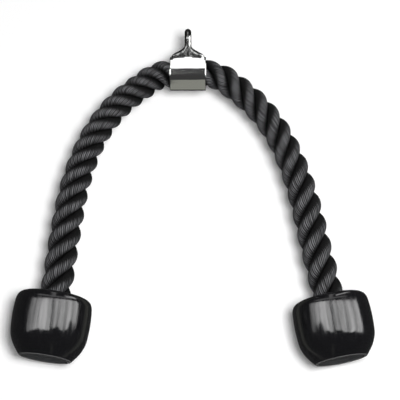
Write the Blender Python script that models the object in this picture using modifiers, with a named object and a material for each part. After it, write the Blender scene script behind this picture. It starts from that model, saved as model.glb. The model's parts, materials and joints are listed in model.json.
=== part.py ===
"""Triceps rope attachment for a cable machine, hanging by its eye.

A rope of three laid strands passes through a chrome sleeve at its crown and hangs down in two legs.
Each leg ends inside a rubber ball, where a crimped ferrule bears on a washer and a base plug closes
the pocket. The eye on the sleeve takes the machine's carabiner.

Metres, +Z up. X runs across the arch and Y through it. The origin is the point under the crown of the
eye where the carabiner bears.
"""

import math

import bmesh
import bpy
import numpy as np
from mathutils import Vector

PART_COLLECTION = "triceps_rope_attachment"
CUTTER_COLLECTION = "cutters"

# Working allowances
CLEARANCE = 0.0003
OVERRUN = 0.006
MERGE_DISTANCE = 0.00001
SMOOTH_ANGLE = math.radians(35)
HEADING_REACH = 0.0003

# Rope: three strands laid right-handed
STRAND_COUNT = 3
CROWN_ROPE_RADIUS = 0.0141
GRIP_ROPE_RADIUS = 0.0158
SWELL_START = 0.090
SWELL_END = 0.240
LAY_PHASE = math.radians(-1.9)
STRAND_CENTRE_SHARE = 0.525
STRAND_WIDTH_SHARE = 0.56
FERRULE_SQUEEZE_SHARE = 0.92
SQUEEZE_RAMP = 0.010
SECTION_POINTS = 10
STATIONS_PER_LAY = 11
ROUTE_STEPS = 40

# Where the legs run, sideways and down from the middle of the sleeve to the mouth of each ball, and
# the length of rope in which a strand turns once, at the sleeve and at the ball
LEFT_SPAN = 0.1306
LEFT_DROP = 0.2277
LEFT_TILT = math.radians(8.6)
LEFT_CROWN_LAY = 0.0409
LEFT_GRIP_LAY = 0.0672
LEFT_ROUTE_SHARES = (
    (0.280, 0.025),
    (0.359, 0.059),
    (0.449, 0.098),
    (0.609, 0.192),
    (0.732, 0.303),
    (0.819, 0.425),
    (0.880, 0.551),
    (0.920, 0.680),
    (0.954, 0.810),
    (1.000, 1.000),
)
RIGHT_SPAN = 0.1389
RIGHT_DROP = 0.2299
RIGHT_TILT = math.radians(11.0)
RIGHT_CROWN_LAY = 0.0532
RIGHT_GRIP_LAY = 0.0692
RIGHT_ROUTE_SHARES = (
    (0.263, 0.025),
    (0.341, 0.060),
    (0.424, 0.102),
    (0.571, 0.198),
    (0.683, 0.308),
    (0.767, 0.428),
    (0.831, 0.551),
    (0.880, 0.676),
    (0.925, 0.801),
    (1.000, 1.000),
)

# Where the legs bend: one short stretch at the sleeve's mouth and one above the hand grip
FLEX_LENGTH = 0.040
ARM_LENGTH = 0.080

# Crown sleeve
SLEEVE_LENGTH = 0.0366
SLEEVE_WALL = 0.0027
SLEEVE_EDGE_RADIUS = 0.0010
SLEEVE_EDGE_STEPS = 2
SLEEVE_STEPS = 36

# Eye: a rod bent to a loop, its feet spread along the sleeve that they stand on
EYE_ROD_RADIUS = 0.0034
EYE_OPENING_WIDTH = 0.0172
EYE_OPENING_HEIGHT = 0.0232
EYE_FLARE_HEIGHT = 0.0125
EYE_FLARE_POWER = 1.5
EYE_FOOT_LENGTH = 0.0332
EYE_FOOT_EDGE = 0.0018
EYE_FOOT_TIP = 0.0006
EYE_FOOT_LEAN = math.radians(6)
EYE_ROD_POINTS = 16
EYE_BEND_STATIONS = 10
EYE_FLARE_STATIONS = 7

# End ball: depths are measured down from its top face
BALL_RADIUS = 0.0389
BALL_HEIGHT = 0.0645
BALL_MOUTH_RADIUS = 0.0012
BALL_MOUTH_STEPS = 3
BALL_BASE_SHARE = 0.668
BALL_STEPS = 32
BALL_PROFILE_SHARES = (
    (0.620, 0.003),
    (0.780, 0.016),
    (0.885, 0.045),
    (0.945, 0.090),
    (0.980, 0.170),
    (1.000, 0.360),
    (0.994, 0.530),
    (0.975, 0.660),
    (0.935, 0.750),
    (0.870, 0.833),
    (0.785, 0.910),
)
POCKET_RADIUS = 0.0223
RECESS_WIDTH = 0.0028
RECESS_DEPTH = 0.0045

# Washer between the ball's shoulder and the ferrule
WASHER_THICKNESS = 0.0025
WASHER_STEPS = 24

# Ferrule crimped on the rope's end
FERRULE_LENGTH = 0.0280
FERRULE_WALL = 0.0028
FERRULE_FLANGE_WIDTH = 0.0030
FERRULE_FLANGE_THICKNESS = 0.0030
FERRULE_GROOVES = 3
FERRULE_GROOVE_WIDTH = 0.0040
FERRULE_GROOVE_DEPTH = 0.0008
FERRULE_STEPS = 20

# Base plug
PLUG_HEIGHT = 0.0181
PLUG_INSET = 0.0004
PLUG_EDGE = 0.0008
PLUG_DISH_SHARE = 0.60
PLUG_DISH_DEPTH = 0.0006
PLUG_STEPS = 28

# Finishes: colour, roughness, metallic
NYLON = ((0.018, 0.018, 0.020), 0.70, 0.0)
CHROME = ((0.80, 0.80, 0.79), 0.08, 1.0)
GLOSS_RUBBER = ((0.012, 0.012, 0.013), 0.22, 0.0)
MATT_RUBBER = ((0.040, 0.040, 0.042), 0.62, 0.0)
ZINC_STEEL = ((0.55, 0.56, 0.57), 0.35, 1.0)

# Derived sizes
SLEEVE_BORE_RADIUS = CROWN_ROPE_RADIUS + CLEARANCE
SLEEVE_RADIUS = SLEEVE_BORE_RADIUS + SLEEVE_WALL
EYE_SEAT_HEIGHT = SLEEVE_RADIUS + EYE_OPENING_HEIGHT
EYE_BEND_RADIUS = EYE_OPENING_WIDTH / 2 + EYE_ROD_RADIUS
CROWN_CENTRE = Vector((0, 0, -EYE_SEAT_HEIGHT))
NECK_RADIUS = GRIP_ROPE_RADIUS + CLEARANCE
FERRULE_BORE_RADIUS = GRIP_ROPE_RADIUS * FERRULE_SQUEEZE_SHARE + CLEARANCE
FERRULE_RADIUS = FERRULE_BORE_RADIUS + FERRULE_WALL
BALL_BASE_RADIUS = BALL_RADIUS * BALL_BASE_SHARE
RECESS_RADIUS = BALL_BASE_RADIUS - RECESS_WIDTH
PLUG_TOP_DEPTH = BALL_HEIGHT - PLUG_HEIGHT
ROPE_END_DEPTH = PLUG_TOP_DEPTH - CLEARANCE
FERRULE_DEPTH = ROPE_END_DEPTH - FERRULE_LENGTH
WASHER_DEPTH = FERRULE_DEPTH - WASHER_THICKNESS - CLEARANCE
NECK_DEPTH = WASHER_DEPTH - CLEARANCE


def smooth_route(points, leaving, arriving):
    """Points along the cubic spline through the given ones, with its two end directions given."""
    knots = np.array(points)
    chords = np.linalg.norm(np.diff(knots, axis=0), axis=1)
    count = len(knots)
    system = np.eye(count)
    target = np.zeros_like(knots)
    target[0] = leaving
    target[-1] = arriving
    for i in range(1, count - 1):
        before, after = chords[i - 1], chords[i]
        system[i, i - 1 : i + 2] = after, 2 * (before + after), before
        target[i] = 3 * (after / before * (knots[i] - knots[i - 1]) + before / after * (knots[i + 1] - knots[i]))
    slopes = np.linalg.solve(system, target)
    route = []
    for i, chord in enumerate(chords):
        for t in np.linspace(0, 1, ROUTE_STEPS, endpoint=False):
            route.append(
                (2 * t**3 - 3 * t**2 + 1) * knots[i]
                + (t**3 - 2 * t**2 + t) * chord * slopes[i]
                + (3 * t**2 - 2 * t**3) * knots[i + 1]
                + (t**3 - t**2) * chord * slopes[i + 1]
            )
    route.append(knots[-1])
    return np.array(route)


class Leg:
    """One leg of the rope, from the middle of the sleeve to its cut end inside the ball."""

    def __init__(self, name, side, span, drop, tilt, crown_lay, grip_lay, route_shares):
        self.name = name
        self.side = side
        self.tilt = tilt
        self.down = np.array((side * math.sin(tilt), -math.cos(tilt)))
        mouth = (side * SLEEVE_LENGTH / 2, 0)
        ways = [mouth] + [(side * span * across, -drop * below) for across, below in route_shares]
        curve = smooth_route(ways, (side, 0), self.down)
        self.points = np.vstack([np.zeros(2), curve, curve[-1] + self.down * BALL_HEIGHT])
        steps = np.linalg.norm(np.diff(self.points, axis=0), axis=1)
        self.along = np.concatenate([[0], np.cumsum(steps)])
        self.ball_mouth = self.along[-2]
        self.shoulder = SLEEVE_LENGTH / 2 + FLEX_LENGTH / 2
        self.arm_start = SLEEVE_LENGTH / 2 + FLEX_LENGTH
        self.arm_end = self.arm_start + ARM_LENGTH
        self.elbow = self.arm_end + FLEX_LENGTH / 2
        self.grip_start = self.arm_end + FLEX_LENGTH
        self.rope_end = self.ball_mouth + ROPE_END_DEPTH
        self.crown_lay = crown_lay
        self.lay_growth = (grip_lay - crown_lay) / self.ball_mouth

    def turns(self, distance):
        """How often the strands have turned round the rope between the middle of the sleeve and here."""
        return math.log1p(self.lay_growth * distance / self.crown_lay) / self.lay_growth

    def distance(self, turns):
        """How far from the middle of the sleeve the strands have turned this often."""
        return math.expm1(self.lay_growth * turns) * self.crown_lay / self.lay_growth

    def at(self, distance):
        """The place on the rope's centre line this far from the middle of the sleeve."""
        x, z = (np.interp(distance, self.along, self.points[:, k]) for k in range(2))
        return CROWN_CENTRE + Vector((x, 0, z))

    def heading(self, distance):
        """The direction in which the rope runs there, away from the sleeve."""
        return (self.at(distance + HEADING_REACH) - self.at(distance - HEADING_REACH)).normalized()


LEFT = Leg("left", -1, LEFT_SPAN, LEFT_DROP, LEFT_TILT, LEFT_CROWN_LAY, LEFT_GRIP_LAY, LEFT_ROUTE_SHARES)
RIGHT = Leg(
    "right", 1, RIGHT_SPAN, RIGHT_DROP, RIGHT_TILT, RIGHT_CROWN_LAY, RIGHT_GRIP_LAY, RIGHT_ROUTE_SHARES
)


def leg_of(signed):
    """The leg on which a signed distance or number of turns lies, left negative."""
    return RIGHT if signed > 0 else LEFT


def rope_frame(distance):
    """The rope's centre and direction at a signed distance from the sleeve, left negative."""
    leg = leg_of(distance)
    along = abs(distance)
    if along < SLEEVE_LENGTH / 2:
        return leg.at(along), Vector((1, 0, 0))
    return leg.at(along), leg.heading(along) * leg.side


def ramp(value, start, end):
    """A smooth step from zero at start to one at end."""
    t = min(max((value - start) / (end - start), 0), 1)
    return t * t * (3 - 2 * t)


def rope_radius(distance):
    """The rope's own radius there: fuller towards the ball, and squeezed in the ferrule."""
    along = abs(distance)
    crimp = leg_of(distance).ball_mouth + WASHER_DEPTH
    fuller = ramp(along, SWELL_START, SWELL_END)
    radius = CROWN_ROPE_RADIUS + (GRIP_ROPE_RADIUS - CROWN_ROPE_RADIUS) * fuller
    return radius * (1 - (1 - FERRULE_SQUEEZE_SHARE) * ramp(along, crimp - SQUEEZE_RAMP, crimp))


def strand_section():
    """A strand's outline across a rope of radius one, as a rounded wedge lying towards +X."""
    wedge = math.pi / STRAND_COUNT
    half_depth = 1 - STRAND_CENTRE_SHARE
    flat = STRAND_CENTRE_SHARE * math.sin(wedge) - CLEARANCE / 2 / CROWN_ROPE_RADIUS
    outline = []
    for k in range(SECTION_POINTS):
        turn = 2 * math.pi * k / SECTION_POINTS
        away = min(turn, 2 * math.pi - turn)
        reach = 1 / math.hypot(math.cos(turn) / half_depth, math.sin(turn) / STRAND_WIDTH_SHARE)
        facing = math.sin(away - wedge)
        if facing > 0:
            reach = min(reach, flat / facing)
        outline.append((STRAND_CENTRE_SHARE + reach * math.cos(turn), reach * math.sin(turn)))
    return outline


def strand_ring(section, strand, turns, origin):
    """The strand's outline where the rope has turned this often, measured from the piece's origin."""
    leg = leg_of(turns)
    distance = leg.side * leg.distance(abs(turns))
    centre, direction = rope_frame(distance)
    upright = direction.cross(Vector((0, 1, 0)))
    across = direction.cross(upright)
    turn = 2 * math.pi * (turns + strand / STRAND_COUNT) + LAY_PHASE
    outward = upright * math.cos(turn) + across * math.sin(turn)
    onward = across * math.cos(turn) - upright * math.sin(turn)
    radius = rope_radius(distance)
    return [centre - origin + (outward * x + onward * y) * radius for x, y in section]


def draw_out(rings):
    """A closed solid: the first ring's face, extruded from each ring to the next."""
    bm = bmesh.new()
    first = face = bm.faces.new([bm.verts.new(point) for point in rings[0]])
    for ring in rings[1:]:
        drawn = bmesh.ops.extrude_face_region(bm, geom=[face])
        if face is not first:
            bm.faces.remove(face)
        face = next(item for item in drawn["geom"] if isinstance(item, bmesh.types.BMFace))
        for vert, point in zip(face.verts, ring):
            vert.co = point
    bmesh.ops.recalc_face_normals(bm, faces=bm.faces[:])
    mesh = bpy.data.meshes.new("drawn")
    bm.to_mesh(mesh)
    bm.free()
    mesh.shade_smooth()
    mesh.set_sharp_from_angle(angle=SMOOTH_ANGLE)
    return mesh


def finish_material(name, finish):
    """A plain material of one colour, roughness and metallic value."""
    colour, roughness, metallic = finish
    material = bpy.data.materials.new(name)
    material.use_nodes = True
    shader = material.node_tree.nodes["Principled BSDF"]
    shader.inputs["Base Color"].default_value = (*colour, 1)
    shader.inputs["Roughness"].default_value = roughness
    shader.inputs["Metallic"].default_value = metallic
    return material


def add_piece(name, mesh, finish, parent, location=None, rotation=(0, 0, 0)):
    """Puts a mesh in the part's collection as a named piece that hangs from its parent empty."""
    mesh.name = name
    mesh.materials.append(finish_material(name, finish))
    piece = bpy.data.objects.new(name, mesh)
    bpy.data.collections[PART_COLLECTION].objects.link(piece)
    piece.parent = parent
    if location is not None:
        piece.location = location - world_place(parent)
    piece.rotation_euler = rotation
    return piece


def add_axis(name, location, parent=None):
    """An empty on a joint's axis, for the pieces that turn there."""
    axis = bpy.data.objects.new(name, None)
    bpy.data.collections[PART_COLLECTION].objects.link(axis)
    axis.empty_display_size = GRIP_ROPE_RADIUS
    axis.parent = parent
    axis.location = location - (world_place(parent) if parent else Vector())
    return axis


def world_place(empty):
    """Where an unrotated empty stands, summed up its parents."""
    place = Vector(empty.location)
    while empty.parent:
        empty = empty.parent
        place += empty.location
    return place


def turned(name, profile, closed, steps, finish, parent, location, rotation=(0, 0, 0)):
    """A piece turned about its own Z axis from a profile of radii and heights."""
    bm = bmesh.new()
    verts = [bm.verts.new((radius, 0, height)) for radius, height in profile]
    pairs = list(zip(verts, verts[1:]))
    if closed:
        pairs.append((verts[-1], verts[0]))
    for pair in pairs:
        bm.edges.new(pair)
    mesh = bpy.data.meshes.new(name)
    bm.to_mesh(mesh)
    bm.free()
    piece = add_piece(name, mesh, finish, parent, location, rotation)
    screw = piece.modifiers.new("turn", "SCREW")
    screw.steps = screw.render_steps = steps
    screw.use_merge_vertices = True
    screw.merge_threshold = MERGE_DISTANCE
    screw.use_smooth_shade = True
    return piece


def arc(centre, radius, start, end, steps):
    """Points along an arc of a profile, from the start angle to the end angle in degrees."""
    angles = np.radians(np.linspace(start, end, steps + 1))
    return [(centre[0] + radius * math.cos(a), centre[1] + radius * math.sin(a)) for a in angles]


def signed_turns(distance):
    """How often the strands have turned at a signed distance from the sleeve, left negative."""
    leg = leg_of(distance)
    return leg.side * leg.turns(abs(distance))


def make_strands(parents):
    """The three strands, each in stretches that meet face to face where the rope bends."""
    section = strand_section()
    half_gap = CLEARANCE / 2
    stretches = [("crown", -LEFT.arm_start, RIGHT.arm_start, "crown")]
    for leg in (LEFT, RIGHT):
        for stretch, start, end, body in (
            ("arm", leg.arm_start, leg.arm_end, "arm"),
            ("flex", leg.arm_end, leg.grip_start, "arm"),
            ("grip", leg.grip_start, leg.rope_end + half_gap, "grip"),
        ):
            ends = sorted((leg.side * start, leg.side * end))
            stretches.append((f"{leg.name}_{stretch}", *ends, f"{leg.name}_{body}"))
    for label, start, end, body in stretches:
        parent = parents[body]
        origin = world_place(parent)
        first, last = (signed_turns(distance) for distance in (start + half_gap, end - half_gap))
        stations = np.linspace(first, last, math.ceil((last - first) * STATIONS_PER_LAY) + 1)
        for strand in range(STRAND_COUNT):
            rings = [strand_ring(section, strand, turns, origin) for turns in stations]
            piece = add_piece(f"strand_{strand + 1}_{label}", draw_out(rings), NYLON, parent)
            split = piece.modifiers.new("split", "TRIANGULATE")
            split.quad_method = "FIXED"


def make_sleeve(parent):
    """The crown sleeve: a tube along X with rounded rims."""
    half = SLEEVE_LENGTH / 2
    rim, steps = SLEEVE_EDGE_RADIUS, SLEEVE_EDGE_STEPS
    outer, bore = SLEEVE_RADIUS, SLEEVE_BORE_RADIUS
    profile = (
        arc((outer - rim, half - rim), rim, 90, 0, steps)
        + arc((outer - rim, rim - half), rim, 0, -90, steps)
        + arc((bore + rim, rim - half), rim, -90, -180, steps)
        + arc((bore + rim, half - rim), rim, 180, 90, steps)
    )
    upright = (0, math.pi / 2, 0)
    turned("crown_sleeve", profile, True, SLEEVE_STEPS, CHROME, parent, CROWN_CENTRE, upright)


def eye_rings():
    """Outlines of the eye's rod, up one leg, round the bend and down the other."""
    inner = EYE_OPENING_WIDTH / 2
    seat = SLEEVE_RADIUS + CLEARANCE
    bend_height = EYE_SEAT_HEIGHT - inner
    foot_height = math.sqrt(seat**2 - inner**2)
    flare_top = foot_height + EYE_FLARE_HEIGHT
    lean_top = foot_height - EYE_FOOT_EDGE
    tip = math.sqrt(seat**2 - (EYE_BEND_RADIUS + EYE_ROD_RADIUS) ** 2)
    leaning = (lean_top - tip) * math.tan(EYE_FOOT_LEAN) + EYE_FOOT_TIP
    leg_up = [(-EYE_BEND_RADIUS - leaning, tip, 0), (-EYE_BEND_RADIUS, lean_top, 0)]
    for height in np.linspace(foot_height, flare_top, EYE_FLARE_STATIONS):
        leg_up.append((-EYE_BEND_RADIUS, height, 0))
    bend = []
    for k in range(EYE_BEND_STATIONS + 1):
        turn = math.pi * k / EYE_BEND_STATIONS
        place = (-EYE_BEND_RADIUS * math.cos(turn), bend_height + EYE_BEND_RADIUS * math.sin(turn))
        bend.append((*place, turn))
    leg_down = [(-across, height, math.pi) for across, height, _ in reversed(leg_up)]
    rings = []
    for across, height, turn in leg_up + bend + leg_down:
        flared = ramp(height, flare_top, foot_height) ** EYE_FLARE_POWER
        spread = EYE_ROD_RADIUS + (EYE_FOOT_LENGTH / 2 - EYE_ROD_RADIUS) * flared
        centre = Vector((0, across, height))
        outward = Vector((0, -math.cos(turn), math.sin(turn))) * EYE_ROD_RADIUS
        ring = []
        for j in range(EYE_ROD_POINTS):
            round_rod = 2 * math.pi * j / EYE_ROD_POINTS
            ring.append(centre + outward * math.cos(round_rod) + Vector((spread * math.sin(round_rod), 0, 0)))
        rings.append(ring)
    return rings


def make_eye(parent):
    """The eye: its rod, cut to stand on the sleeve."""
    piece = add_piece("eye", draw_out(eye_rings()), CHROME, parent, CROWN_CENTRE)
    bm = bmesh.new()
    bmesh.ops.create_cone(
        bm,
        cap_ends=True,
        segments=SLEEVE_STEPS,
        radius1=SLEEVE_RADIUS + CLEARANCE,
        radius2=SLEEVE_RADIUS + CLEARANCE,
        depth=EYE_FOOT_LENGTH + 2 * OVERRUN,
    )
    mesh = bpy.data.meshes.new("sleeve_space")
    bm.to_mesh(mesh)
    bm.free()
    cutter = bpy.data.objects.new("sleeve_space", mesh)
    bpy.data.collections[CUTTER_COLLECTION].objects.link(cutter)
    cutter.location = CROWN_CENTRE
    cutter.rotation_euler = (0, math.pi / 2, 0)
    cutter.hide_render = True
    cutter.display_type = "WIRE"
    boolean = piece.modifiers.new("sleeve_space", "BOOLEAN")
    boolean.operation = "DIFFERENCE"
    boolean.solver = "EXACT"
    boolean.object = cutter


def ball_profile():
    """The ball's closed outline: down its outer side, across its base and up its stepped bore."""
    lip = BALL_MOUTH_RADIUS
    base_corner = (BALL_BASE_RADIUS, -BALL_HEIGHT)
    return (
        arc((NECK_RADIUS + lip, -lip), lip, 180, 90, BALL_MOUTH_STEPS)
        + [(BALL_RADIUS * out, -BALL_HEIGHT * down) for out, down in BALL_PROFILE_SHARES]
        + [
            base_corner,
            (RECESS_RADIUS, -BALL_HEIGHT),
            (RECESS_RADIUS, RECESS_DEPTH - BALL_HEIGHT),
            (POCKET_RADIUS, RECESS_DEPTH - BALL_HEIGHT),
            (POCKET_RADIUS, -NECK_DEPTH),
            (NECK_RADIUS, -NECK_DEPTH),
        ]
    )


def washer_profile():
    """A flat ring that fits round the rope and inside the ball's pocket."""
    outer = POCKET_RADIUS - CLEARANCE
    bottom = -WASHER_THICKNESS
    return [(NECK_RADIUS, 0), (outer, 0), (outer, bottom), (NECK_RADIUS, bottom)]


def ferrule_profile():
    """A flanged tube whose outside is pressed in at each crimp."""
    flange = FERRULE_RADIUS + FERRULE_FLANGE_WIDTH
    outline = [
        (FERRULE_BORE_RADIUS, 0),
        (flange, 0),
        (flange, -FERRULE_FLANGE_THICKNESS),
        (FERRULE_RADIUS, -FERRULE_FLANGE_THICKNESS),
    ]
    plain = FERRULE_LENGTH - FERRULE_FLANGE_THICKNESS
    pitch = plain / FERRULE_GROOVES
    for groove in range(FERRULE_GROOVES):
        middle = -FERRULE_FLANGE_THICKNESS - pitch * (groove + 1 / 2)
        outline += [
            (FERRULE_RADIUS, middle + FERRULE_GROOVE_WIDTH / 2),
            (FERRULE_RADIUS - FERRULE_GROOVE_DEPTH, middle),
            (FERRULE_RADIUS, middle - FERRULE_GROOVE_WIDTH / 2),
        ]
    return outline + [(FERRULE_RADIUS, -FERRULE_LENGTH), (FERRULE_BORE_RADIUS, -FERRULE_LENGTH)]


def plug_profile():
    """A disc with a boss above it and a shallow dish in its base, from axis to axis."""
    boss = POCKET_RADIUS - CLEARANCE
    disc = RECESS_RADIUS - CLEARANCE
    disc_top = RECESS_DEPTH - CLEARANCE - BALL_HEIGHT
    base = PLUG_INSET - BALL_HEIGHT
    dish = disc * PLUG_DISH_SHARE
    return [
        (0, -PLUG_TOP_DEPTH),
        (boss, -PLUG_TOP_DEPTH),
        (boss, disc_top),
        (disc, disc_top),
        (disc, base + PLUG_EDGE),
        (disc - PLUG_EDGE, base),
        (dish + PLUG_DISH_DEPTH, base),
        (dish, base + PLUG_DISH_DEPTH),
        (0, base + PLUG_DISH_DEPTH),
    ]


def make_end(leg, parent):
    """The ball and its inner fittings at the end of one leg, in line with the rope."""
    top = leg.at(leg.ball_mouth)
    down = Vector((leg.down[0], 0, leg.down[1]))
    lean = (0, -leg.side * leg.tilt, 0)
    turned(f"ball_{leg.name}", ball_profile(), True, BALL_STEPS, GLOSS_RUBBER, parent, top, lean)
    for name, profile, closed, steps, finish, depth in (
        ("washer", washer_profile(), True, WASHER_STEPS, ZINC_STEEL, WASHER_DEPTH),
        ("ferrule", ferrule_profile(), True, FERRULE_STEPS, ZINC_STEEL, FERRULE_DEPTH),
        ("base_plug", plug_profile(), False, PLUG_STEPS, MATT_RUBBER, 0),
    ):
        turned(f"{name}_{leg.name}", profile, closed, steps, finish, parent, top + down * depth, lean)


def clear_scene():
    """Removes what the file opened with and adds the two collections."""
    for item in list(bpy.data.objects):
        bpy.data.objects.remove(item, do_unlink=True)
    for name in (PART_COLLECTION, CUTTER_COLLECTION):
        bpy.context.scene.collection.children.link(bpy.data.collections.new(name))


def build():
    """Builds the whole attachment."""
    clear_scene()
    crown = add_axis("crown_axis", CROWN_CENTRE)
    parents = {"crown": crown}
    for leg in (LEFT, RIGHT):
        shoulder = add_axis(f"{leg.name}_shoulder_axis", leg.at(leg.shoulder), crown)
        parents[f"{leg.name}_arm"] = shoulder
        parents[f"{leg.name}_grip"] = add_axis(f"{leg.name}_elbow_axis", leg.at(leg.elbow), shoulder)
    make_strands(parents)
    make_sleeve(crown)
    make_eye(crown)
    for leg in (LEFT, RIGHT):
        make_end(leg, parents[f"{leg.name}_grip"])


build()
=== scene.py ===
"""The looks of a triceps rope attachment that hangs by its eye in front of a white wall.

Every size is in metres, in the frame of the part: the origin is the point under the crown of the eye,
X runs across the arch, Y away from the viewer and Z up.
"""

from __future__ import annotations

import json
import logging
import math
from dataclasses import dataclass
from enum import Enum
from typing import Union

import bmesh
import bpy
import numpy as np
from mathutils import Matrix, Vector

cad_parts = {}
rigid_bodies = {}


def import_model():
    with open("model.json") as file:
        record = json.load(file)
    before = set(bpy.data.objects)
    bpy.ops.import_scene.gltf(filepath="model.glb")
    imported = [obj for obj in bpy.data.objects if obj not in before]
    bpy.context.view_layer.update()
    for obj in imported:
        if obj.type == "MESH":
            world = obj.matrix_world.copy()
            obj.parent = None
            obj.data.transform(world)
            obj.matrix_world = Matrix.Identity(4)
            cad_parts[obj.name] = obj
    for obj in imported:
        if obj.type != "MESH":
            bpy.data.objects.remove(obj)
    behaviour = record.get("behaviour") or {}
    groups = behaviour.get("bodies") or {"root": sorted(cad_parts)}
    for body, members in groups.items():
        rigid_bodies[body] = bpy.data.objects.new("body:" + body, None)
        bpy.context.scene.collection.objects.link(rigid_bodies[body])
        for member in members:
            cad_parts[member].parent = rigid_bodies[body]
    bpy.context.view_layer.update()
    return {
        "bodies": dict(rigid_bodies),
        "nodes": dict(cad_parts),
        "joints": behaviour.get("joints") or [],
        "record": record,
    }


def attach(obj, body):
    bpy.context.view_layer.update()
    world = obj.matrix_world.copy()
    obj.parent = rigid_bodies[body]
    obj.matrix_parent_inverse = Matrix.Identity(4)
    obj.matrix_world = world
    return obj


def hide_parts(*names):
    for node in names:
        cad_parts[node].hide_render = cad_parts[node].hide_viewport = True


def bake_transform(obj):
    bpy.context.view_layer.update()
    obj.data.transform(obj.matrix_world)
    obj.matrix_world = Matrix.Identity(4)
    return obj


LOG = logging.getLogger("triceps_rope")

STRANDS = 3
CORD_POINTS = 60
ROUTE_STEPS = 40
ON_AXIS = 1e-7
SHARP_EDGE = math.radians(40)
SHARP_CUT = math.radians(38)
WHOLE = (0.0, 1.0)
WHITE = (1.0, 1.0, 1.0)

Pair = tuple[float, float]
Triple = tuple[float, float, float]
Feed = Union[bpy.types.NodeSocket, float, tuple[float, ...]]


class Side(Enum):
    """The two legs of the arch, as the viewer sees them."""

    LEFT = -1
    RIGHT = 1

    @property
    def label(self) -> str:
        """The name that this side's bodies and pieces start or end with."""
        return self.name.lower()


@dataclass(frozen=True)
class RopeSizes:
    """The rope, its lay and the stretches in which it bends."""

    crown_radius: float = 0.0141
    grip_radius: float = 0.0158
    swell_start: float = 0.090
    swell_end: float = 0.240
    phase: float = math.radians(-1.9)
    strand_centre: float = 0.525
    strand_width: float = 0.56
    strand_gap: float = 0.00012
    ferrule_squeeze: float = 0.92
    squeeze_ramp: float = 0.010
    flex: float = 0.040
    arm: float = 0.080
    yarns: int = 24
    yarn_height: float = 0.00055
    yarn_turns: float = -2.1
    ridge_power: float = 0.7
    points_per_yarn: int = 3
    station_step: float = 0.0021
    heading_reach: float = 0.0012
    press_sharpness: float = 14.0
    press_least: float = 0.02
    press_far: float = 9.0
    free_from: float = 1.5
    # Where the painted groove shade fades out towards the crown, and how far it leans to one side.
    groove_shares: Pair = (0.83, 1.03)
    groove_lean: float = 0.22
    uv_per_metre: float = 100.0
    uv_shift: float = 7.3


@dataclass(frozen=True)
class SleeveSizes:
    """The crown sleeve, its seat and the eye above it."""

    length: float = 0.0366
    wall: float = 0.0027
    bore: float = 0.0144
    rim: float = 0.0007
    rod: float = 0.0034
    opening_width: float = 0.0172
    opening_height: float = 0.0232
    flare_height: float = 0.0125
    flare_power: float = 1.5
    foot_length: float = 0.0332
    foot_edge: float = 0.0018
    foot_bottom: float = 0.0040
    foot_lean: float = math.radians(6)

    @property
    def outer(self) -> float:
        """The sleeve's outer radius."""
        return self.bore + self.wall

    @property
    def seat(self) -> float:
        """How high the underside of the eye's crown is above the middle of the sleeve."""
        return self.outer + self.opening_height

    @property
    def centre(self) -> Vector:
        """The middle of the sleeve."""
        return Vector((0.0, 0.0, -self.seat))


@dataclass(frozen=True)
class BallSizes:
    """The rubber ball at each end, measured down from its top face."""

    radius: float = 0.0389
    height: float = 0.0645
    mouth_lip: float = 0.0012
    mouth_room: float = 0.0001
    neck: float = 0.0161
    neck_depth: float = 0.0150
    base_share: float = 0.668
    rim: float = 0.0006
    recess_width: float = 0.0028
    recess_depth: float = 0.0045
    clearance: float = 0.0003
    plug_inset: float = 0.0004
    plug_edge: float = 0.0008
    dish_share: float = 0.60
    dish_depth: float = 0.0006
    rope_end: float = 0.0461
    profile: tuple[Pair, ...] = (
        (0.620, 0.003),
        (0.780, 0.016),
        (0.885, 0.045),
        (0.945, 0.090),
        (0.980, 0.170),
        (1.000, 0.360),
        (0.994, 0.530),
        (0.975, 0.660),
        (0.935, 0.750),
        (0.870, 0.833),
        (0.785, 0.910),
    )


@dataclass(frozen=True)
class LegRoute:
    """Where one leg runs, sideways and down from the sleeve to the mouth of its ball, and its lay."""

    side: Side
    span: float
    drop: float
    tilt: float
    crown_lay: float
    grip_lay: float
    shares: tuple[Pair, ...]


ROPE = RopeSizes()
SLEEVE = SleeveSizes()
BALL = BallSizes()
LEFT_ROUTE = LegRoute(
    Side.LEFT,
    0.1306,
    0.2277,
    math.radians(8.6),
    0.0409,
    0.0672,
    (
        (0.280, 0.025),
        (0.359, 0.059),
        (0.449, 0.098),
        (0.609, 0.192),
        (0.732, 0.303),
        (0.819, 0.425),
        (0.880, 0.551),
        (0.920, 0.680),
        (0.954, 0.810),
        (1.000, 1.000),
    ),
)
RIGHT_ROUTE = LegRoute(
    Side.RIGHT,
    0.1389,
    0.2299,
    math.radians(11.0),
    0.0532,
    0.0692,
    (
        (0.263, 0.025),
        (0.341, 0.060),
        (0.424, 0.102),
        (0.571, 0.198),
        (0.683, 0.308),
        (0.767, 0.428),
        (0.831, 0.551),
        (0.880, 0.676),
        (0.925, 0.801),
        (1.000, 1.000),
    ),
)


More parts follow.
